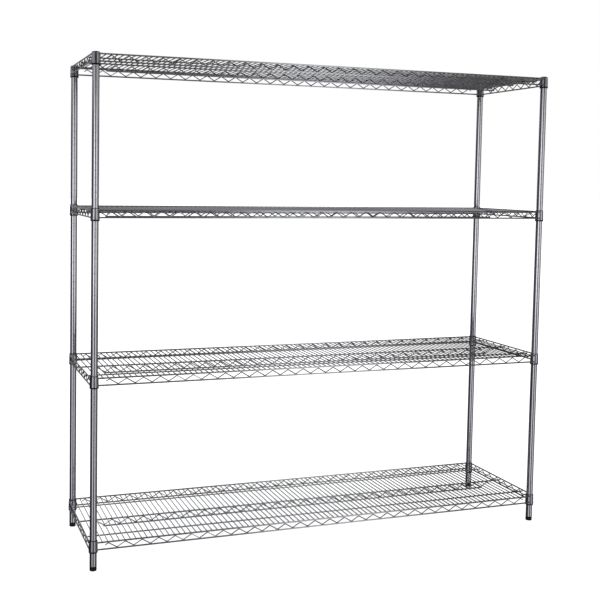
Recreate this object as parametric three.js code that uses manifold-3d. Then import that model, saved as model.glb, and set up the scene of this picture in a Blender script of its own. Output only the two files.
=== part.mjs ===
// Free-standing wire shelving rack: four tubular posts carry four welded wire shelves.
// Each shelf has a tapered collar at every corner, which wedges down over a split plastic
// sleeve clipped round the post. Millimetres, +X along the shelves, +Y to the back, +Z up.
// The origin is on the floor, in the middle of the four feet.

import * as THREE from 'three';
import { mergeVertices } from 'three/addons/utils/BufferGeometryUtils.js';
import Module from 'manifold-3d';

const wasm = await Module();
wasm.setup();

// ---------------------------------------------------------------- driving dimensions
const POST_PITCH_X = 1808;
const POST_PITCH_Y = 455;
const POST_RADIUS = 12.7;
const POST_WALL = 1.2;
const RACK_HEIGHT = 1814;
const ROUND_SIDES = 12;
const FIT_GAP = 0.3;

// Shelf heights are whole steps of the post's grooves, counted from the bottom shelf.
const GROOVE_PITCH = 25.4;
const BOTTOM_SHELF_HEIGHT = 67.4;
const SHELF_STEPS = [0, 23, 46, 67];

// Levelling foot and the insert that its screw turns in.
const FOOT_RADIUS = 12.5;
const FOOT_HEIGHT = 14.5;
const FOOT_CHAMFER = 1.5;
const STEM_RADIUS = 4;
const STEM_TOP = 42;
const FLANGE_THICKNESS = 1.5;
const INSERT_LENGTH = 28;

// Post cap.
const CAP_RADIUS = 12.9;
const CAP_HEIGHT = 5.7;
const CAP_EDGE = 2.2;
const CAP_PLUG_LENGTH = 12;

// Split sleeve, measured from the middle of its rim. A wedge tapers from the rim to the top,
// and the rim stands out below it as far as the collar does.
const SLEEVE_RIM_HALF = 2.3;
const SLEEVE_TOP = 42.3;
const SLEEVE_RIM_RADIUS = 16.2;
const SLEEVE_WEDGE_RADIUS = 14.6;
const SLEEVE_TOP_RADIUS = 13.6;

// Welded shelf, measured from the middle of the sleeve's rim.
const COLLAR_BOTTOM = SLEEVE_RIM_HALF + FIT_GAP;
const COLLAR_TOP = 40.3;
const COLLAR_WALL = 1.4;
const RAIL_OFFSET = 14;
const RAIL_WIDTH = 5.6;
const RAIL_LOW = 10.1;
const RAIL_HIGH = 35.3;
const LONG_WIRE_WIDTH = 5;
const LONG_WIRE_Y = 159;
const LONG_WIRE_HEIGHT = 29.9;
const CROSS_WIRE_WIDTH = 3.2;
const CROSS_WIRE_HEIGHT = 33.6;
const CROSS_WIRE_PITCH = 20.285;
const CROSS_WIRE_LAST = 44;
const CROSS_WIRE_STEP = 4;
const CENTRE_RAIL_LENGTH = 1648;
const END_RAIL_STANDOFF = 9;

// Zigzag wires lie between the two rails of a truss and touch both with their bends. The
// period is the distance between two bends on the same rail. On the long trusses a bend meets
// every third cross wire.
const ZIGZAG_WIDTH = 3.4;
const ZIGZAG_LOW = 13.6;
const ZIGZAG_HIGH = 31.2;
const LONG_BENDS = 28;
const LONG_PERIOD = 3 * CROSS_WIRE_PITCH;
const END_BENDS = 7;
const END_PERIOD = 54.8;

// ---------------------------------------------------------------- materials
const metal = (name, color, roughness) =>
  new THREE.MeshStandardMaterial({ name, color, roughness, metalness: 1 });
const plastic = (name, color, roughness) =>
  new THREE.MeshStandardMaterial({ name, color, roughness, metalness: 0 });
const MATERIALS = {
  post: metal('post_chrome', 0xa6a7b0, 0.22),
  wire: metal('wire_chrome', 0x8d8e98, 0.3),
  sleeve: plastic('sleeve_plastic', 0x161618, 0.45),
  cap: plastic('cap_plastic', 0x1a1a1c, 0.4),
  insert: plastic('insert_plastic', 0x2a2a2c, 0.55),
  foot: plastic('foot_plastic', 0x121214, 0.25),
};

// ---------------------------------------------------------------- solids
// Merges the shared vertices and drops triangles that have shrunk to a line, so that the
// surface is one closed net of triangles.
function weld(geometry) {
  const bare = geometry.clone();
  bare.deleteAttribute('normal');
  bare.deleteAttribute('uv');
  const net = mergeVertices(bare, 1e-4);
  const kept = [];
  for (let first = 0; first < net.index.count; first += 3) {
    const [a, b, c] = net.index.array.subarray(first, first + 3);
    if (a !== b && b !== c && c !== a) kept.push(a, b, c);
  }
  net.setIndex(kept);
  return net;
}

// Turns a profile of [radius, height] points round the Z axis.
function turned(profile) {
  const points = profile.map(([radius, height]) => new THREE.Vector2(radius, height));
  const lathe = new THREE.LatheGeometry(points, ROUND_SIDES);
  lathe.rotateX(Math.PI / 2);
  return weld(lathe);
}

// A ring whose profile closes on itself.
const ring = (profile) => turned([...profile, profile[0]]);

function toSolid(geometry) {
  const net = weld(geometry);
  const vertProperties = new Float32Array(net.attributes.position.array);
  const triVerts = new Uint32Array(net.index.array);
  return new wasm.Manifold(new wasm.Mesh({ numProp: 3, vertProperties, triVerts }));
}

function toGeometry(solid) {
  const { vertProperties, triVerts } = solid.getMesh();
  const geometry = new THREE.BufferGeometry();
  geometry.setAttribute('position', new THREE.Float32BufferAttribute(vertProperties, 3));
  geometry.setIndex(Array.from(triVerts));
  return geometry;
}

const join = (geometries) =>
  geometries.map(toSolid).reduce((whole, piece) => whole.add(piece));

// A box given by its middle and its size.
function bar([x, y, z], [width, depth, height]) {
  return new THREE.BoxGeometry(width, depth, height).translate(x, y, z);
}

// The outline of a zigzag wire: its upper edge out, and its lower edge back. The wire starts
// and ends at the top rail. Half its height, measured straight up, keeps each sloping leg as
// wide as the wire.
function zigzagOutline(bends, period) {
  const legLength = Math.hypot(ZIGZAG_HIGH - ZIGZAG_LOW, period / 2);
  const half = (ZIGZAG_WIDTH * legLength) / period;
  const upper = [];
  const lower = [];
  for (let leg = 0; leg <= 2 * bends; leg += 1) {
    const x = ((leg - bends) * period) / 2;
    const z = leg % 2 === 0 ? ZIGZAG_HIGH : ZIGZAG_LOW;
    upper.push(new THREE.Vector2(x, z + half));
    lower.unshift(new THREE.Vector2(x, z - half));
  }
  return new THREE.Shape([...lower, ...upper].reverse());
}

// A flat truss in the X-Z plane: two rails with a zigzag wire between them.
function truss(lowLength, highLength, bends, period) {
  const zigzag = new THREE.ExtrudeGeometry(zigzagOutline(bends, period), {
    depth: ZIGZAG_WIDTH,
    bevelEnabled: false,
  });
  zigzag.translate(0, 0, -ZIGZAG_WIDTH / 2).rotateX(Math.PI / 2);
  const lowRail = bar([0, 0, RAIL_LOW], [lowLength, RAIL_WIDTH, RAIL_WIDTH]);
  const highRail = bar([0, 0, RAIL_HIGH], [highLength, RAIL_WIDTH, RAIL_WIDTH]);
  return toGeometry(join([lowRail, highRail, zigzag]));
}

// ---------------------------------------------------------------- posts and their fittings
const tubeRadius = POST_RADIUS - POST_WALL;
const plugRadius = tubeRadius - FIT_GAP;
const flangeBottom = FOOT_HEIGHT + FIT_GAP;
const postBottom = flangeBottom + FLANGE_THICKNESS + FIT_GAP;
const capBottom = RACK_HEIGHT - CAP_HEIGHT;
const postTop = capBottom - FIT_GAP;

const postTube = () =>
  ring([
    [tubeRadius, postBottom], [POST_RADIUS, postBottom],
    [POST_RADIUS, postTop], [tubeRadius, postTop],
  ]);

const postCap = () =>
  turned([
    [0, capBottom - CAP_PLUG_LENGTH], [plugRadius, capBottom - CAP_PLUG_LENGTH],
    [plugRadius, capBottom], [CAP_RADIUS, capBottom],
    [CAP_RADIUS, capBottom + CAP_EDGE], [CAP_RADIUS * 0.75, RACK_HEIGHT - 0.8],
    [0, RACK_HEIGHT],
  ]);

const footInsert = () =>
  ring([
    [STEM_RADIUS + FIT_GAP, flangeBottom], [POST_RADIUS, flangeBottom],
    [POST_RADIUS, flangeBottom + FLANGE_THICKNESS],
    [plugRadius, flangeBottom + FLANGE_THICKNESS],
    [plugRadius, flangeBottom + INSERT_LENGTH],
    [STEM_RADIUS + FIT_GAP, flangeBottom + INSERT_LENGTH],
  ]);

const levellingFoot = () =>
  turned([
    [0, 0], [FOOT_RADIUS, 0], [FOOT_RADIUS, FOOT_HEIGHT - FOOT_CHAMFER],
    [FOOT_RADIUS - FOOT_CHAMFER, FOOT_HEIGHT], [STEM_RADIUS, FOOT_HEIGHT],
    [STEM_RADIUS, STEM_TOP], [0, STEM_TOP],
  ]);

// ---------------------------------------------------------------- sleeves and shelves
// Outer radius of the sleeve's wedge at a height above the middle of the rim.
function sleeveRadius(height) {
  const along = (height - SLEEVE_RIM_HALF) / (SLEEVE_TOP - SLEEVE_RIM_HALF);
  return SLEEVE_WEDGE_RADIUS + along * (SLEEVE_TOP_RADIUS - SLEEVE_WEDGE_RADIUS);
}

const splitSleeve = () =>
  ring([
    [POST_RADIUS + FIT_GAP, -SLEEVE_RIM_HALF], [SLEEVE_RIM_RADIUS, -SLEEVE_RIM_HALF],
    [SLEEVE_RIM_RADIUS, SLEEVE_RIM_HALF], [SLEEVE_WEDGE_RADIUS, SLEEVE_RIM_HALF],
    [SLEEVE_TOP_RADIUS, SLEEVE_TOP],
    [POST_RADIUS + FIT_GAP, SLEEVE_TOP],
  ]);

const collarBore = (height) => sleeveRadius(height) + FIT_GAP;

// The collar's outer cone, or the bore through it, as a solid plug.
function collarPlug(wall, overshoot) {
  const low = COLLAR_BOTTOM - overshoot;
  const high = COLLAR_TOP + overshoot;
  return turned([
    [0, low], [collarBore(low) + wall, low],
    [collarBore(high) + wall, high], [0, high],
  ]);
}

// Front and rear trusses stop where their inner edge meets the collars.
const railInnerEdge = RAIL_OFFSET - RAIL_WIDTH / 2;
const collarReach = collarBore(COLLAR_BOTTOM) + COLLAR_WALL + FIT_GAP;
const trussStandoff = Math.sqrt(collarReach ** 2 - railInnerEdge ** 2);
const longTrussLength = POST_PITCH_X - 2 * trussStandoff;
const longTruss = () =>
  truss(longTrussLength, longTrussLength, LONG_BENDS, LONG_PERIOD);

// Inner length and depth of the shelf between its rails.
const innerLength = POST_PITCH_X + 2 * (railInnerEdge - FIT_GAP);
const innerDepth = POST_PITCH_Y + 2 * (railInnerEdge - FIT_GAP);

// The middle truss hangs just under the cross wires and runs between the two ends. Its low
// rail is cut short.
function centreTruss() {
  const drop = CROSS_WIRE_HEIGHT - (CROSS_WIRE_WIDTH + RAIL_WIDTH) / 2 - FIT_GAP - RAIL_HIGH;
  return truss(CENTRE_RAIL_LENGTH, innerLength, LONG_BENDS, LONG_PERIOD).translate(0, 0, drop);
}

// End truss with a collar on each end: its rails run into the collars' walls.
function endFrame(side) {
  const length = POST_PITCH_Y - 2 * END_RAIL_STANDOFF;
  const lattice = truss(length, length, END_BENDS, END_PERIOD);
  lattice.rotateZ(Math.PI / 2).translate(side * RAIL_OFFSET, 0, 0);
  const corners = [-POST_PITCH_Y / 2, POST_PITCH_Y / 2];
  const collars = corners.map((y) => collarPlug(COLLAR_WALL, 0).translate(0, y, 0));
  const bores = corners.map((y) => collarPlug(0, 1).translate(0, y, 0));
  return toGeometry(join([lattice, ...collars]).subtract(join(bores)));
}

// Cross wires lie on two long wires, sunk a little into them where they are welded. Only
// every fourth one is here. The first and last stop short, clear of the collars.
function deck() {
  const wires = [-LONG_WIRE_Y, LONG_WIRE_Y].map((y) =>
    bar([0, y, LONG_WIRE_HEIGHT], [innerLength, LONG_WIRE_WIDTH, LONG_WIRE_WIDTH]));
  for (let index = -CROSS_WIRE_LAST; index <= CROSS_WIRE_LAST; index += CROSS_WIRE_STEP) {
    const isOuter = Math.abs(index) === CROSS_WIRE_LAST;
    const depth = isOuter ? POST_PITCH_Y - 2 * collarReach : innerDepth;
    const x = index * CROSS_WIRE_PITCH;
    wires.push(bar([x, 0, CROSS_WIRE_HEIGHT], [CROSS_WIRE_WIDTH, depth, CROSS_WIRE_WIDTH]));
  }
  return toGeometry(join(wires));
}

// ---------------------------------------------------------------- assembly
const CORNERS = [
  ['front_left', -1, -1],
  ['front_right', 1, -1],
  ['rear_left', -1, 1],
  ['rear_right', 1, 1],
];

const rack = new THREE.Group();

function place(group, name, geometry, material, x, y) {
  const mesh = new THREE.Mesh(geometry, material);
  mesh.name = name;
  mesh.position.set(x, y, 0);
  group.add(mesh);
}

for (const [corner, sideX, sideY] of CORNERS) {
  const x = (sideX * POST_PITCH_X) / 2;
  const y = (sideY * POST_PITCH_Y) / 2;
  place(rack, `post_${corner}`, postTube(), MATERIALS.post, x, y);
  place(rack, `post_cap_${corner}`, postCap(), MATERIALS.cap, x, y);
  place(rack, `foot_insert_${corner}`, footInsert(), MATERIALS.insert, x, y);
  place(rack, `levelling_foot_${corner}`, levellingFoot(), MATERIALS.foot, x, y);
}

SHELF_STEPS.forEach((step, index) => {
  const level = index + 1;
  const shelf = new THREE.Group();
  shelf.position.z = BOTTOM_SHELF_HEIGHT + step * GROOVE_PITCH;
  rack.add(shelf);
  const endX = POST_PITCH_X / 2;
  const railY = POST_PITCH_Y / 2 + RAIL_OFFSET;
  for (const [corner, sideX, sideY] of CORNERS) {
    const y = (sideY * POST_PITCH_Y) / 2;
    place(shelf, `sleeve_${level}_${corner}`, splitSleeve(), MATERIALS.sleeve, sideX * endX, y);
  }
  place(shelf, `shelf_${level}_deck`, deck(), MATERIALS.wire, 0, 0);
  place(shelf, `shelf_${level}_centre_truss`, centreTruss(), MATERIALS.wire, 0, 0);
  place(shelf, `shelf_${level}_front_truss`, longTruss(), MATERIALS.wire, 0, -railY);
  place(shelf, `shelf_${level}_rear_truss`, longTruss(), MATERIALS.wire, 0, railY);
  place(shelf, `shelf_${level}_left_end`, endFrame(-1), MATERIALS.wire, -endX, 0);
  place(shelf, `shelf_${level}_right_end`, endFrame(1), MATERIALS.wire, endX, 0);
});

export default rack;
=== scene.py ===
import math

import bmesh
import bpy
from mathutils import Matrix, Vector


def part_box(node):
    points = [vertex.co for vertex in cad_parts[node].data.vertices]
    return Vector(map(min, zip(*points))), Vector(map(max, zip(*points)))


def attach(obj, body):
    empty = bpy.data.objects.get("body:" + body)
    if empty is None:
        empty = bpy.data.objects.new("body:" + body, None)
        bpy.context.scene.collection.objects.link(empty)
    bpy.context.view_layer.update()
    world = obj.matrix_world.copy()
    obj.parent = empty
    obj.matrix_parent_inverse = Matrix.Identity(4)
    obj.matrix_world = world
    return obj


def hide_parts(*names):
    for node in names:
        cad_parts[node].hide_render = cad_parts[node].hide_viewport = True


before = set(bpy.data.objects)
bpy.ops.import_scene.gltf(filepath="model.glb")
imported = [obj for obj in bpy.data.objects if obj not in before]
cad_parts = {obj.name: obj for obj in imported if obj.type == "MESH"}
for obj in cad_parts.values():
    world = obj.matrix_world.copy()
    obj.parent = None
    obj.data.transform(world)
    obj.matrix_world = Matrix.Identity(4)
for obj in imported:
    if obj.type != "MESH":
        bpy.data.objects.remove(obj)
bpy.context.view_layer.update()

# ------------------------------------------------------------------ sizes, in metres
MM = 0.001
CORNERS = ["front_left", "front_right", "rear_left", "rear_right"]
LEVELS = [1, 2, 3, 4]

TUBE_WALL = 1.2 * MM
GROOVE_PITCH = 25.4 * MM
GROOVE_DEPTH = 0.12 * MM
GROOVE_WIDTH = 0.7 * MM
GROOVE_FROM_END = 4 * MM
# A groove in section, as (share of its width from its middle, share of its depth).
GROOVE_SHAPE = ((-0.8, 0), (-0.5, 0), (-0.18, 1), (0.18, 1), (0.5, 0), (0.8, 0))
POST_SIDES = 32

PLUG_RADIUS = 11.3 * MM
PLUG_CHAMFER = 0.8 * MM
FLANGE_CHAMFER = 0.3 * MM
CAP_HEIGHT = 5.7 * MM
CAP_SIDE = 2.4 * MM
CAP_EDGE = 1.2 * MM
CAP_EDGE_STEPS = 5
CAP_EDGE_ANGLE = 12
DOME_STEPS = 6
INSERT_BORE = 4.25 * MM
INSERT_FLANGE = 1.5 * MM
INSERT_EDGE = 0.2 * MM

# The foot's pad in section, in mm: how far in from its side, and how far above its bottom or
# below its top.
PAD_BOTTOM = ((1.2, 0), (0.5, 0.2), (0.1, 0.7), (0, 1.4))
PAD_TOP = ((0, 2.0), (0.5, 1.2), (1.5, 0.2), (2.0, 0))
PAD_HEIGHT = 14.5 * MM
PAD_HOLE = 3.4 * MM
STEM_BOTTOM = 14.4 * MM
STEM_SIDES = 24
STEM_ROWS_PER_TURN = 6
THREAD_PITCH = 1.25 * MM
THREAD_DEPTH = 0.6 * MM
THREAD_ROOT = 3.35 * MM

BEAD_ABOVE_RIM = 20 * MM
SLEEVE_RIM_HALF = 2.3 * MM
SLEEVE_TOP = 42.3 * MM
SLEEVE_SPLIT = 1.6
SLEEVE_SIDES = 20
COLLAR_SIDES = 48

RAIL_RADIUS = 2.8 * MM
LONG_WIRE_RADIUS = 2.5 * MM
CROSS_WIRE_RADIUS = 2.0 * MM
ZIGZAG_RADIUS = 1.9 * MM
ZIGZAG_LOW = 13.6 * MM
ZIGZAG_HIGH = 30.6 * MM
ZIGZAG_INSET = 1.0 * MM
RAIL_OFFSET = 14 * MM
RAIL_LOW = 10.1 * MM
RAIL_HIGH = 35.3 * MM
LONG_WIRE_Y = 159 * MM
LONG_WIRE_HEIGHT = 29.9 * MM
CROSS_WIRE_HEIGHT = 33.2 * MM
CROSS_WIRE_PITCH = 20.285 * MM
CROSS_WIRE_LAST = 44
CENTRE_RAIL_HALF = 824 * MM
# The centre truss's top rail is this much lower than the long wires, so that their tops are level.
CENTRE_RAIL_LOWER = 0.3 * MM
# How far short of the posts' axes the rails and the last cross wires end, inside the collars.
RAIL_SETBACK = 10.5 * MM
LAST_WIRE_SETBACK = 12 * MM
THICK_WIRE_SIDES = 12
THIN_WIRE_SIDES = 8

LONG_BENDS = 28
LONG_PERIOD = 3 * CROSS_WIRE_PITCH
END_BENDS = 7
END_PERIOD = 54.8 * MM
BEND_RADIUS = 3.5 * MM
BEND_SHARES = (0, 0.25, 0.5, 0.75, 1)
TAIL = 12 * MM

# Weld beads at the rail ends: where they sit from the post's axis, their half sizes, and how
# uneven they are.
WELD_OUTWARDS = 14.2 * MM
WELD_ALONG = 10.8 * MM
WELD_THICK = 2.2 * MM
WELD_LONG = 3.8 * MM
WELD_TALL = 3.1 * MM
WELD_RIPPLE = 0.08
WELD_WAVES = (7, 5)

# Edges sharper than this many degrees stay sharp.
SHARP_ANGLE = 40
TUBE_SHARP_ANGLE = 60
TINY = 1e-6

# ------------------------------------------------------------------ looks and studio
GRAIN_HEIGHT = 0.0001
GRIME_SHARE = 0.7
WORN_SHARE = 2.2

# The camera stands left of the rack and in front of it. Angles are in radians, the lens in mm.
CAMERA_SPOT = (-1.5043, -3.5150, 1.3834)
CAMERA_YAW = 0.3255
CAMERA_PITCH = 0.0634
CAMERA_ROLL = 0.0150
CAMERA_SENSOR = 36
CAMERA_LENS = 57.6
CAMERA_SHIFT_X = 0.1088
CAMERA_SHIFT_Y = -0.0992

FLOOR_RADIUS = 60
FLOOR_SIDES = 64
FLOOR_TONE = 0.42
FLOOR_GLOW = 0.75
SUN_STRENGTH = 3.4
SUN_SOFTNESS = 50
SUN_TILT = (12, -10)

# The studio that the metal mirrors, as (degrees, brightness). Around it runs from behind,
# past the left, the front (0) and the right, to behind again. In height it runs from straight
# down to straight up.
AROUND_TONES = [(-180, 0.25), (-150, 0.12), (-120, 0.04), (-84, 0.05), (-60, 0.28), (-50, 1.5),
                (-36, 1.5), (-26, 0.30), (-12, 0.14), (6, 0.24), (16, 0.40), (30, 0.45),
                (52, 0.60), (66, 0.25), (90, 0.10), (120, 0.04), (150, 0.12), (180, 0.25)]
HEIGHT_TONES = [(-90, 0.09), (-40, 0.11), (-24, 0.42), (-14, 0.68), (-9, 0.72), (-5.5, 1.2),
                (1, 1.2), (3.5, 0.90), (6, 0.32), (9, 0.08), (25, 0.08), (90, 0.10)]
# Lights and walls that stretch across one axis, as (share to the right, to the back or up,
# brightness), and how much of each shows at each height in degrees.
LONG_LIGHT = ("X", [(-1, 0), (0.29, 0), (0.37, 1.4), (0.42, 1.4), (0.51, 0), (1, 0)],
              [(-90, 0.7), (10, 1), (20, 0.35), (90, 0.35)])
BACK_WALL = ("Y", [(-1, 0), (0.76, 0), (0.94, 0.32), (1, 0.36)],
             [(-90, 0), (3, 0), (9, 1), (90, 1)])
SIDE_WALLS = ("X", [(-1, 0.5), (-0.85, 0.45), (-0.64, 0), (0.64, 0), (0.85, 0.45), (1, 0.5)],
              [(-90, 0), (2, 0), (8, 1), (90, 1)])
FRONT_WALL = ("Y", [(-1, 0.3), (-0.92, 0.25), (-0.7, 0), (1, 0)],
              [(-90, 0), (13, 0), (19, 1), (90, 1)])
CEILING = ("Z", [(-1, 0), (0.8, 0), (0.9, 0.4), (1, 0.45)], [(-90, 0), (45, 0), (50, 1), (90, 1)])
ROOM_TINT = (0.97, 0.98, 1.0, 1)


# ------------------------------------------------------------------ where the CAD pieces stand
def middle(node):
    low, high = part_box(node)
    return (low + high) / 2


def post_axis(corner):
    spot = middle(f"post_{corner}")
    return Vector((spot.x, spot.y, 0))


def rim_height(level):
    """The middle of the sleeves' rim on this level."""
    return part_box(f"sleeve_{level}_front_left")[0].z + SLEEVE_RIM_HALF


POST_X = abs(post_axis("front_right").x)
POST_Y = abs(post_axis("front_right").y)
END_X = POST_X + RAIL_OFFSET
RAIL_Y = POST_Y + RAIL_OFFSET


# ------------------------------------------------------------------ mesh helpers
def ring_frames(points):
    """A position and two cross directions at each point of a wire, turned as little as possible."""
    tangents = []
    for index, point in enumerate(points):
        before = points[max(index - 1, 0)]
        after = points[min(index + 1, len(points) - 1)]
        tangents.append((after - before).normalized())
    side = tangents[0].orthogonal().normalized()
    frames = []
    for point, tangent in zip(points, tangents):
        side = (side - tangent * side.dot(tangent)).normalized()
        frames.append((point, side, tangent.cross(side)))
    return frames


def add_wire(mesh, points, radius, sides):
    """A round wire along the points, closed at both ends."""
    points = [Vector(point) for point in points]
    rings = []
    for centre, side, other in ring_frames(points):
        ring = []
        for step in range(sides):
            angle = 2 * math.pi * step / sides
            offset = side * math.cos(angle) + other * math.sin(angle)
            ring.append(mesh.verts.new(centre + offset * radius))
        rings.append(ring)
    for lower, upper in zip(rings, rings[1:]):
        for step in range(sides):
            following = (step + 1) % sides
            mesh.faces.new((lower[step], lower[following], upper[following], upper[step]))
    mesh.faces.new(list(reversed(rings[0])))
    mesh.faces.new(rings[-1])


def add_turned(mesh, profile, centre=(0, 0, 0), sides=POST_SIDES, start=0.0, sweep=2 * math.pi,
               closed=True):
    """Turns a profile of (radius, height) round a vertical axis.

    A closed profile makes a ring, and an open one starts and ends on the axis. A sweep of less
    than a full turn gets an end face at each side.
    """
    centre = Vector(centre)
    full = sweep > 2 * math.pi - TINY
    columns = sides if full else sides + 1
    rows = []
    for radius, height in profile:
        if radius < TINY:
            rows.append([mesh.verts.new(centre + Vector((0, 0, height)))] * columns)
            continue
        row = []
        for step in range(columns):
            angle = start + sweep * step / sides
            spot = Vector((radius * math.cos(angle), radius * math.sin(angle), height))
            row.append(mesh.verts.new(centre + spot))
        rows.append(row)
    pairs = list(zip(rows, rows[1:]))
    if closed:
        pairs.append((rows[-1], rows[0]))
    for lower, upper in pairs:
        for step in range(sides):
            following = (step + 1) % columns
            corners = [lower[step], lower[following], upper[following], upper[step]]
            distinct = list(dict.fromkeys(corners))
            if len(distinct) > 2:
                mesh.faces.new(distinct)
    if not full:
        mesh.faces.new([row[0] for row in rows])
        mesh.faces.new([row[-1] for row in reversed(rows)])


def to_mesh(name, build, sharp_angle=SHARP_ANGLE):
    """Runs build on an empty bmesh and returns the finished, smooth-shaded mesh."""
    work = bmesh.new()
    build(work)
    bmesh.ops.recalc_face_normals(work, faces=work.faces)
    mesh = bpy.data.meshes.new(name)
    work.to_mesh(mesh)
    work.free()
    mesh.shade_smooth()
    mesh.set_sharp_from_angle(angle=math.radians(sharp_angle))
    return mesh


def piece(name, mesh, material, body, node, location=(0, 0, 0)):
    """Puts a mesh into the scene in the place of a CAD node."""
    thing = bpy.data.objects.new(name, mesh)
    thing.location = location
    bpy.context.scene.collection.objects.link(thing)
    if not mesh.materials:
        mesh.materials.append(material)
    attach(thing, body)
    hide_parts(node)
    return thing


# ------------------------------------------------------------------ materials
class Nodes:
    """A short way to write a procedural Principled material."""

    def __init__(self, name):
        self.material = bpy.data.materials.new(name)
        self.material.use_nodes = True
        self.tree = self.material.node_tree
        self.shader = self.tree.nodes["Principled BSDF"]
        self.place = self.tree.nodes.new("ShaderNodeTexCoord").outputs["Object"]

    def add(self, kind, **settings):
        node = self.tree.nodes.new(kind)
        for key, value in settings.items():
            setattr(node, key, value)
        return node

    def link(self, output, socket):
        self.tree.links.new(output, socket)

    def noise(self, scale, detail, stretch=(1, 1, 1), roughness=0.55):
        mapping = self.add("ShaderNodeMapping")
        mapping.inputs["Scale"].default_value = stretch
        self.link(self.place, mapping.inputs["Vector"])
        noise = self.add("ShaderNodeTexNoise")
        noise.inputs["Scale"].default_value = scale
        noise.inputs["Detail"].default_value = detail
        noise.inputs["Roughness"].default_value = roughness
        self.link(mapping.outputs["Vector"], noise.inputs["Vector"])
        return noise.outputs["Fac"]

    def between(self, value, low, high, from_low=0.3, from_high=0.7):
        spread = self.add("ShaderNodeMapRange")
        spread.inputs["From Min"].default_value = from_low
        spread.inputs["From Max"].default_value = from_high
        spread.inputs["To Min"].default_value = low
        spread.inputs["To Max"].default_value = high
        self.link(value, spread.inputs["Value"])
        return spread.outputs["Result"]

    def mix(self, value, first, second):
        mix = self.add("ShaderNodeMix", data_type="RGBA")
        for socket, colour in (("A", first), ("B", second)):
            target = [s for s in mix.inputs if s.name == socket and s.type == "RGBA"][0]
            if hasattr(colour, "is_output"):
                self.link(colour, target)
            else:
                target.default_value = (*colour, 1)
        self.link(value, mix.inputs["Factor"])
        return [s for s in mix.outputs if s.type == "RGBA"][0]

    def bump(self, height, strength, distance):
        bump = self.add("ShaderNodeBump")
        bump.inputs["Strength"].default_value = strength
        bump.inputs["Distance"].default_value = distance
        self.link(height, bump.inputs["Height"])
        return bump.outputs["Normal"]


def chrome(name, bright, dull, smooth, rough, stretch):
    """Chrome plate: faint clouds, darker, rougher patches and a fine grain that can be stretched."""
    n = Nodes(name)
    clouds = n.noise(scale=7, detail=5)
    streaks = n.noise(scale=60, detail=3, stretch=stretch)
    grime = n.noise(scale=30, detail=6, roughness=0.65)
    tone = n.mix(n.between(clouds, low=0, high=1), bright, dull)
    darker = tuple(GRIME_SHARE * channel for channel in dull)
    patches = n.between(grime, low=0, high=0.3, from_low=0.58, from_high=0.8)
    n.link(n.mix(patches, tone, darker), n.shader.inputs["Base Color"])
    rub = n.add("ShaderNodeMath", operation="ADD")
    n.link(n.between(streaks, smooth, rough), rub.inputs[0])
    n.link(n.between(grime, low=0, high=0.08, from_low=0.5, from_high=0.8), rub.inputs[1])
    n.link(rub.outputs["Value"], n.shader.inputs["Roughness"])
    n.link(n.bump(streaks, strength=0.03, distance=GRAIN_HEIGHT), n.shader.inputs["Normal"])
    n.shader.inputs["Metallic"].default_value = 1.0
    return n.material


def plastic(name, colour, smooth, rough, coat=0.0):
    """Black plastic with a fine moulded grain and worn, paler and rougher patches."""
    n = Nodes(name)
    grain = n.noise(scale=1800, detail=2)
    wear = n.noise(scale=70, detail=5)
    paler = tuple(WORN_SHARE * channel for channel in colour)
    patches = n.between(wear, low=0, high=1, from_low=0.45, from_high=0.75)
    n.link(n.mix(patches, colour, paler), n.shader.inputs["Base Color"])
    n.link(n.between(wear, smooth, rough), n.shader.inputs["Roughness"])
    n.link(n.bump(grain, strength=0.25, distance=GRAIN_HEIGHT), n.shader.inputs["Normal"])
    n.shader.inputs["Specular IOR Level"].default_value = 0.2
    n.shader.inputs["Coat Weight"].default_value = coat
    n.shader.inputs["Coat Roughness"].default_value = 0.08
    return n.material


POST_CHROME = chrome("post_chrome", bright=(0.70, 0.70, 0.735), dull=(0.64, 0.64, 0.68),
                     smooth=0.07, rough=0.12, stretch=(12, 12, 0.25))
WIRE_CHROME = chrome("wire_chrome", bright=(0.50, 0.50, 0.525), dull=(0.43, 0.43, 0.455),
                     smooth=0.10, rough=0.18, stretch=(1, 1, 1))
SLEEVE_PLASTIC = plastic("sleeve_plastic", (0.006, 0.006, 0.007), smooth=0.35, rough=0.5)
CAP_PLASTIC = plastic("cap_plastic", (0.007, 0.007, 0.008), smooth=0.3, rough=0.45)
FOOT_PLASTIC = plastic("foot_plastic", (0.003, 0.003, 0.0035), smooth=0.12, rough=0.25, coat=0.1)
INSERT_PLASTIC = plastic("insert_plastic", (0.018, 0.018, 0.02), smooth=0.45, rough=0.6)


# ------------------------------------------------------------------ posts and their fittings
def post_profile():
    """Outer wall with a rolled groove every inch, then back down the bore."""
    low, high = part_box("post_front_left")
    radius = (high.x - low.x) / 2
    bore = radius - TUBE_WALL
    first = (rim_height(1) + BEAD_ABOVE_RIM) % GROOVE_PITCH
    profile = [(bore, low.z), (radius, low.z)]
    groove = first + GROOVE_PITCH * math.ceil((low.z + GROOVE_FROM_END - first) / GROOVE_PITCH)
    while groove < high.z - GROOVE_FROM_END:
        for share, depth in GROOVE_SHAPE:
            profile.append((radius - depth * GROOVE_DEPTH, groove + share * GROOVE_WIDTH))
        groove += GROOVE_PITCH
    return profile + [(radius, high.z), (bore, high.z)]


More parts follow.
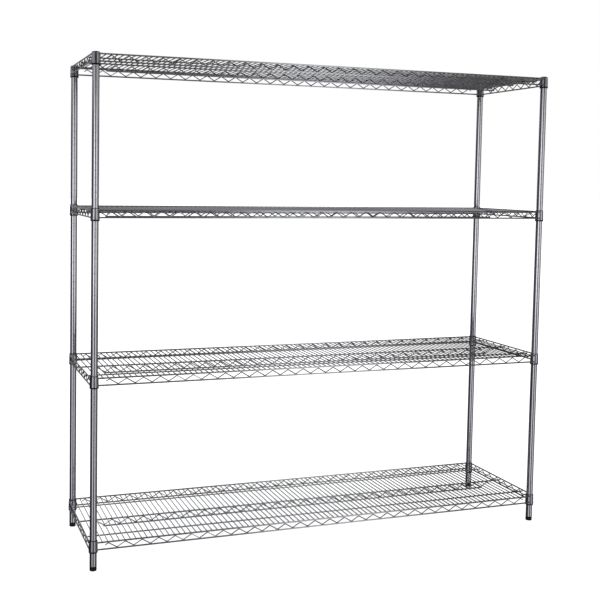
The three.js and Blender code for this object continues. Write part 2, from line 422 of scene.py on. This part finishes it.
def cap_profile():
    """A low domed top over a plain plug."""
    low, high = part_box("post_cap_front_left")
    radius = (high.x - low.x) / 2
    brim = high.z - CAP_HEIGHT
    shoulder = brim + CAP_SIDE
    profile = [(0, low.z), (PLUG_RADIUS - PLUG_CHAMFER, low.z),
               (PLUG_RADIUS, low.z + PLUG_CHAMFER), (PLUG_RADIUS, brim),
               (radius - FLANGE_CHAMFER, brim), (radius, brim + FLANGE_CHAMFER), (radius, shoulder)]
    for step in range(1, CAP_EDGE_STEPS + 1):
        angle = math.radians(CAP_EDGE_ANGLE * step)
        inset = CAP_EDGE * (1 - math.cos(angle))
        profile.append((radius - inset, shoulder + CAP_EDGE * math.sin(angle)))
    top_radius, top_height = profile[-1]
    for step in range(1, DOME_STEPS + 1):
        share = step / DOME_STEPS
        rise = (high.z - top_height) * (1 - (1 - share) ** 2)
        profile.append((top_radius * (1 - share), top_height + rise))
    return profile


def insert_profile():
    """A flange under the tube's end and a plug inside it, with a bore for the foot's screw."""
    low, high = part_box("foot_insert_front_left")
    radius = (high.x - low.x) / 2
    flange = low.z + INSERT_FLANGE
    return [(INSERT_BORE, low.z), (radius - FLANGE_CHAMFER, low.z), (radius, low.z + FLANGE_CHAMFER),
            (radius, flange - INSERT_EDGE), (radius - INSERT_EDGE, flange), (PLUG_RADIUS, flange),
            (PLUG_RADIUS, high.z), (INSERT_BORE, high.z)]


def foot_profile():
    """The glossy pad, with a rounded foot edge and a chamfer above."""
    low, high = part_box("levelling_foot_front_left")
    radius = (high.x - low.x) / 2
    profile = [(0, 0)]
    profile += [(radius - inset * MM, height * MM) for inset, height in PAD_BOTTOM]
    profile += [(radius - inset * MM, PAD_HEIGHT - below * MM) for inset, below in PAD_TOP]
    return profile + [(PAD_HOLE, PAD_HEIGHT)]


def add_stem(mesh):
    """The foot's screw, with a real helical thread."""
    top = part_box("levelling_foot_front_left")[1].z
    length = top - STEM_BOTTOM
    count = int(length / THREAD_PITCH * STEM_ROWS_PER_TURN)
    rows = []
    for row in range(count + 1):
        height = STEM_BOTTOM + length * row / count
        ring = []
        for step in range(STEM_SIDES):
            turn = (height / THREAD_PITCH - step / STEM_SIDES) % 1.0
            fade = min(1.0, (top - height) / THREAD_PITCH)
            radius = THREAD_ROOT + THREAD_DEPTH * fade * (1 - abs(2 * turn - 1))
            angle = 2 * math.pi * step / STEM_SIDES
            ring.append(mesh.verts.new((radius * math.cos(angle), radius * math.sin(angle), height)))
        rows.append(ring)
    for lower, upper in zip(rows, rows[1:]):
        for step in range(STEM_SIDES):
            following = (step + 1) % STEM_SIDES
            mesh.faces.new((lower[step], lower[following], upper[following], upper[step]))
    mesh.faces.new(list(reversed(rows[0])))
    mesh.faces.new(rows[-1])


def build_foot(mesh):
    profile = foot_profile()
    add_turned(mesh, profile + [(0, profile[-1][1])], closed=False)
    add_stem(mesh)


def make_posts():
    tube = to_mesh("post_tube", lambda mesh: add_turned(mesh, post_profile()),
                   TUBE_SHARP_ANGLE)
    cap = to_mesh("post_cap_dome", lambda mesh: add_turned(mesh, cap_profile(), closed=False))
    insert = to_mesh("foot_insert_plug", lambda mesh: add_turned(mesh, insert_profile()))
    foot = to_mesh("levelling_foot_pad", build_foot)
    for corner in CORNERS:
        spot = post_axis(corner)
        piece(f"grooved_post_{corner}", tube, POST_CHROME, "posts",
              f"post_{corner}", spot)
        piece(f"domed_cap_{corner}", cap, CAP_PLASTIC, "posts",
              f"post_cap_{corner}", spot)
        piece(f"threaded_insert_{corner}", insert, INSERT_PLASTIC, "posts",
              f"foot_insert_{corner}", spot)
        piece(f"screw_foot_{corner}", foot, FOOT_PLASTIC, f"foot_{corner}",
              f"levelling_foot_{corner}", spot)


# ------------------------------------------------------------------ sleeves
def sleeve_profile():
    """One half of a split sleeve in section: a standing rim, a tapered wedge, a thin top edge."""
    inner, rim, wedge, top = 13.0 * MM, 16.2 * MM, 14.6 * MM, 13.6 * MM
    edge = 0.5 * MM
    return [(inner, -SLEEVE_RIM_HALF), (rim - edge, -SLEEVE_RIM_HALF), (rim, edge - SLEEVE_RIM_HALF),
            (rim, SLEEVE_RIM_HALF - edge), (rim - edge, SLEEVE_RIM_HALF),
            (wedge, SLEEVE_RIM_HALF), (top, SLEEVE_TOP - edge), (top - edge / 2, SLEEVE_TOP),
            (inner, SLEEVE_TOP)]


def make_sleeves():
    gap = math.radians(SLEEVE_SPLIT)
    halves = {}
    for name, start in (("a", 0.0), ("b", math.pi)):
        halves[name] = to_mesh(
            f"half_sleeve_{name}",
            lambda mesh, start=start: add_turned(
                mesh, sleeve_profile(), sides=SLEEVE_SIDES, start=start + gap,
                sweep=math.pi - 2 * gap),
        )
    for level in LEVELS:
        for corner in CORNERS:
            spot = post_axis(corner) + Vector((0, 0, rim_height(level)))
            for name, mesh in halves.items():
                piece(f"half_sleeve_{level}_{corner}_{name}", mesh, SLEEVE_PLASTIC,
                      f"sleeves_{level}", f"sleeve_{level}_{corner}", spot)


# ------------------------------------------------------------------ wire shelves
def zigzag_path(bends, period, low, high, tail):
    """A zigzag in the X-Z plane that starts and ends at the high rail, with rounded bends.

    Past its first and last bend the wire runs on for a short tail, cut before the low rail.
    """
    rise = high - low
    half_angle = math.atan2(period / 2, rise)
    overshoot = BEND_RADIUS * (1 / math.sin(half_angle) - 1)
    reach = BEND_RADIUS / math.tan(half_angle)
    corners = []
    for leg in range(-1, 2 * bends + 2):
        height = low - overshoot if leg % 2 else high + overshoot
        corners.append(Vector(((leg - bends) * period / 2, 0, height)))
    path = []
    for before, corner, after in zip(corners, corners[1:], corners[2:]):
        towards = (before - corner).normalized()
        onwards = (after - corner).normalized()
        if not path:
            path.append(corner + towards * (reach + tail))
        for share in BEND_SHARES:
            entry = corner + towards * reach * (1 - share)
            leave = corner + onwards * reach * share
            path.append(entry.lerp(leave, share))
    path.append(corners[-2] + (corners[-1] - corners[-2]).normalized() * (reach + tail))
    return path


def add_truss(mesh, low_half, high_half, bends, period, place, drop=0.0):
    """Two rails with a zigzag wire between them. place turns a distance along the truss, a
    distance inwards and a height into a point of the shelf."""
    for half, height in ((low_half, RAIL_LOW + drop), (high_half, RAIL_HIGH + drop)):
        add_wire(mesh, [place(-half, 0, height), place(half, 0, height)], RAIL_RADIUS,
                 THICK_WIRE_SIDES)
    path = zigzag_path(bends, period, ZIGZAG_LOW + drop, ZIGZAG_HIGH + drop, TAIL)
    add_wire(mesh, [place(p.x, ZIGZAG_INSET, p.z) for p in path], ZIGZAG_RADIUS,
             THIN_WIRE_SIDES)


def collar_profile():
    """A tapered steel collar with rolled edges, in section."""
    bore_low, bore_high = 14.9 * MM, 13.95 * MM
    wall, edge = 1.4 * MM, 0.4 * MM
    low, high = 2.6 * MM, 40.3 * MM
    return [(bore_low, low + edge), (bore_low + edge, low), (bore_low + wall - edge, low),
            (bore_low + wall, low + edge), (bore_high + wall, high - edge),
            (bore_high + wall - edge, high), (bore_high + edge, high), (bore_high, high - edge)]


def add_weld(mesh, centre, size):
    """A small uneven bead of weld, stretched along the wire."""
    work = bmesh.ops.create_icosphere(mesh, subdivisions=2, radius=1.0)
    shape = Matrix.Translation(centre) @ Matrix.Diagonal((*size, 1))
    for vertex in work["verts"]:
        across, upwards = WELD_WAVES
        ripple = 1 + WELD_RIPPLE * math.sin(across * vertex.co.x + upwards * vertex.co.z)
        vertex.co = shape @ (vertex.co * ripple)


def build_end(mesh, side):
    """End truss and its two collars."""
    half = POST_Y - RAIL_SETBACK
    add_truss(mesh, half, half, END_BENDS, END_PERIOD,
              lambda along, inwards, height: (side * (END_X - inwards), along, height))
    for end in (-1, 1):
        centre = Vector((side * POST_X, end * POST_Y, 0))
        add_turned(mesh, collar_profile(), centre, sides=COLLAR_SIDES)
        for height in (RAIL_LOW, RAIL_HIGH):
            rail_end = centre + Vector((side * WELD_OUTWARDS, -end * WELD_ALONG, height))
            add_weld(mesh, rail_end, (WELD_THICK, WELD_LONG, WELD_TALL))
            truss_end = centre + Vector((-side * WELD_ALONG, end * WELD_OUTWARDS, height))
            add_weld(mesh, truss_end, (WELD_LONG, WELD_THICK, WELD_TALL))


def build_long(mesh, side):
    """Front (side -1) or rear (side 1) truss."""
    half = POST_X - RAIL_SETBACK
    add_truss(mesh, half, half, LONG_BENDS, LONG_PERIOD,
              lambda along, inwards, height: (along, side * (RAIL_Y - inwards), height))


def build_centre(mesh):
    """Centre truss, whose top rail reaches the end rails and whose low rail is shorter."""
    drop = LONG_WIRE_HEIGHT - RAIL_HIGH - CENTRE_RAIL_LOWER
    add_truss(mesh, CENTRE_RAIL_HALF, END_X, LONG_BENDS, LONG_PERIOD,
              lambda along, inwards, height: (along, inwards, height), drop)


def build_deck(mesh):
    """Two long wires and the cross wires. The outermost ones end inside the collars."""
    for y in (-LONG_WIRE_Y, LONG_WIRE_Y):
        add_wire(mesh, [(-END_X, y, LONG_WIRE_HEIGHT), (END_X, y, LONG_WIRE_HEIGHT)],
                 LONG_WIRE_RADIUS, THICK_WIRE_SIDES)
    for index in range(-CROSS_WIRE_LAST, CROSS_WIRE_LAST + 1):
        x = index * CROSS_WIRE_PITCH
        half = POST_Y - LAST_WIRE_SETBACK if abs(index) == CROSS_WIRE_LAST else RAIL_Y
        add_wire(mesh, [(x, -half, CROSS_WIRE_HEIGHT), (x, half, CROSS_WIRE_HEIGHT)],
                 CROSS_WIRE_RADIUS, THIN_WIRE_SIDES)


def make_shelves():
    builds = {
        "deck": build_deck,
        "centre_truss": build_centre,
        "front_truss": lambda mesh: build_long(mesh, -1),
        "rear_truss": lambda mesh: build_long(mesh, 1),
        "left_end": lambda mesh: build_end(mesh, -1),
        "right_end": lambda mesh: build_end(mesh, 1),
    }
    for name, build in builds.items():
        made = to_mesh(f"wire_{name}", build)
        for level in LEVELS:
            spot = Vector((0, 0, rim_height(level)))
            piece(f"wire_{name}_{level}", made, WIRE_CHROME, f"shelf_{level}",
                  f"shelf_{level}_{name}", spot)


# ------------------------------------------------------------------ studio
def make_camera():
    """A long lens at eye height, to the left of the rack, with a little shift."""
    forward = Vector((math.sin(CAMERA_YAW) * math.cos(CAMERA_PITCH),
                      math.cos(CAMERA_YAW) * math.cos(CAMERA_PITCH),
                      -math.sin(CAMERA_PITCH)))
    level = Vector((math.cos(CAMERA_YAW), -math.sin(CAMERA_YAW), 0))
    up = level.cross(forward)
    right = level * math.cos(CAMERA_ROLL) + up * math.sin(CAMERA_ROLL)
    up = up * math.cos(CAMERA_ROLL) - level * math.sin(CAMERA_ROLL)
    data = bpy.data.cameras.new("camera")
    data.sensor_width = CAMERA_SENSOR
    data.lens = CAMERA_LENS
    data.shift_x = CAMERA_SHIFT_X
    data.shift_y = CAMERA_SHIFT_Y
    camera = bpy.data.objects.new("camera", data)
    turn = Matrix((right, up, -forward)).transposed().to_4x4()
    camera.matrix_world = Matrix.Translation(CAMERA_SPOT) @ turn
    bpy.context.scene.collection.objects.link(camera)
    bpy.context.scene.camera = camera


def make_floor():
    """White paper that glows a little, which keeps the shadows on it faint."""
    work = bmesh.new()
    bmesh.ops.create_circle(work, cap_ends=True, segments=FLOOR_SIDES, radius=FLOOR_RADIUS)
    mesh = bpy.data.meshes.new("floor")
    work.to_mesh(mesh)
    work.free()
    n = Nodes("floor_paper")
    n.shader.inputs["Base Color"].default_value = (FLOOR_TONE, FLOOR_TONE, FLOOR_TONE, 1)
    n.shader.inputs["Roughness"].default_value = 1.0
    n.shader.inputs["Specular IOR Level"].default_value = 0.0
    n.shader.inputs["Emission Color"].default_value = (1, 1, 1, 1)
    n.shader.inputs["Emission Strength"].default_value = FLOOR_GLOW
    mesh.materials.append(n.material)
    floor = bpy.data.objects.new("floor", mesh)
    floor.visible_glossy = False
    bpy.context.scene.collection.objects.link(floor)


def tone_curve(tree, value, tones, unit=1.0):
    """Turns a value into a brightness, from a list of (value in units, brightness)."""
    first, last = tones[0][0], tones[-1][0]
    share = tree.nodes.new("ShaderNodeMapRange")
    share.inputs["From Min"].default_value = first * unit
    share.inputs["From Max"].default_value = last * unit
    tree.links.new(value, share.inputs["Value"])
    ramp = tree.nodes.new("ShaderNodeValToRGB")
    ramp.color_ramp.interpolation = "EASE"
    stops = ramp.color_ramp.elements
    while len(stops) < len(tones):
        stops.new(0.5)
    for stop, (place, tone) in zip(stops, tones):
        stop.position = (place - first) / (last - first)
        stop.color = (tone, tone, tone, 1)
    tree.links.new(share.outputs["Result"], ramp.inputs["Fac"])
    return ramp.outputs["Color"]


def math_node(tree, operation, *values):
    """A sum in the node tree. Each value is a number or another node's output."""
    node = tree.nodes.new("ShaderNodeMath")
    node.operation = operation
    for socket, value in zip(node.inputs, values):
        if isinstance(value, (int, float)):
            socket.default_value = value
        else:
            tree.links.new(value, socket)
    return node.outputs["Value"]


def studio_brightness(tree):
    """How bright the mirrored studio is in each direction."""
    coords = tree.nodes.new("ShaderNodeTexCoord")
    split = tree.nodes.new("ShaderNodeSeparateXYZ")
    tree.links.new(coords.outputs["Generated"], split.inputs["Vector"])
    degree = math.radians(1)
    ahead = math_node(tree, "MULTIPLY", split.outputs["Y"], -1.0)
    azimuth = math_node(tree, "ARCTAN2", split.outputs["X"], ahead)
    elevation = math_node(tree, "ARCSINE", split.outputs["Z"])
    total = math_node(tree, "MULTIPLY", tone_curve(tree, azimuth, AROUND_TONES, degree),
                      tone_curve(tree, elevation, HEIGHT_TONES, degree))
    for axis, tones, heights in (LONG_LIGHT, BACK_WALL, SIDE_WALLS, FRONT_WALL, CEILING):
        stretch = math_node(tree, "MULTIPLY", tone_curve(tree, split.outputs[axis], tones),
                            tone_curve(tree, elevation, heights, degree))
        total = math_node(tree, "ADD", total, stretch)
    return total


def make_world():
    """White to the eye. The metal mirrors a studio: light panels in front of the rack, brightest
    near its own height, a long light from front to back, dim walls all round and a dim ceiling."""
    world = bpy.data.worlds.new("studio")
    bpy.context.scene.world = world
    world.use_nodes = True
    tree = world.node_tree
    mirrored = tree.nodes["Background"]
    mirrored.inputs["Color"].default_value = ROOM_TINT
    tree.links.new(studio_brightness(tree), mirrored.inputs["Strength"])
    white = tree.nodes.new("ShaderNodeBackground")
    white.inputs["Color"].default_value = (1, 1, 1, 1)
    ray = tree.nodes.new("ShaderNodeLightPath")
    mix = tree.nodes.new("ShaderNodeMixShader")
    tree.links.new(ray.outputs["Is Camera Ray"], mix.inputs["Fac"])
    tree.links.new(mirrored.outputs["Background"], mix.inputs[1])
    tree.links.new(white.outputs["Background"], mix.inputs[2])
    tree.links.new(mix.outputs["Shader"], tree.nodes["World Output"].inputs["Surface"])


def make_light():
    """One soft light from above."""
    bpy.context.scene.view_settings.view_transform = "Standard"
    sun = bpy.data.lights.new("overhead", "SUN")
    sun.energy = SUN_STRENGTH
    sun.angle = math.radians(SUN_SOFTNESS)
    lamp = bpy.data.objects.new("overhead", sun)
    tilt_x, tilt_y = SUN_TILT
    lamp.rotation_euler = (math.radians(tilt_x), math.radians(tilt_y), 0)
    lamp.visible_glossy = False
    bpy.context.scene.collection.objects.link(lamp)


make_camera()
make_floor()
make_world()
make_light()
make_posts()
make_sleeves()
make_shelves()
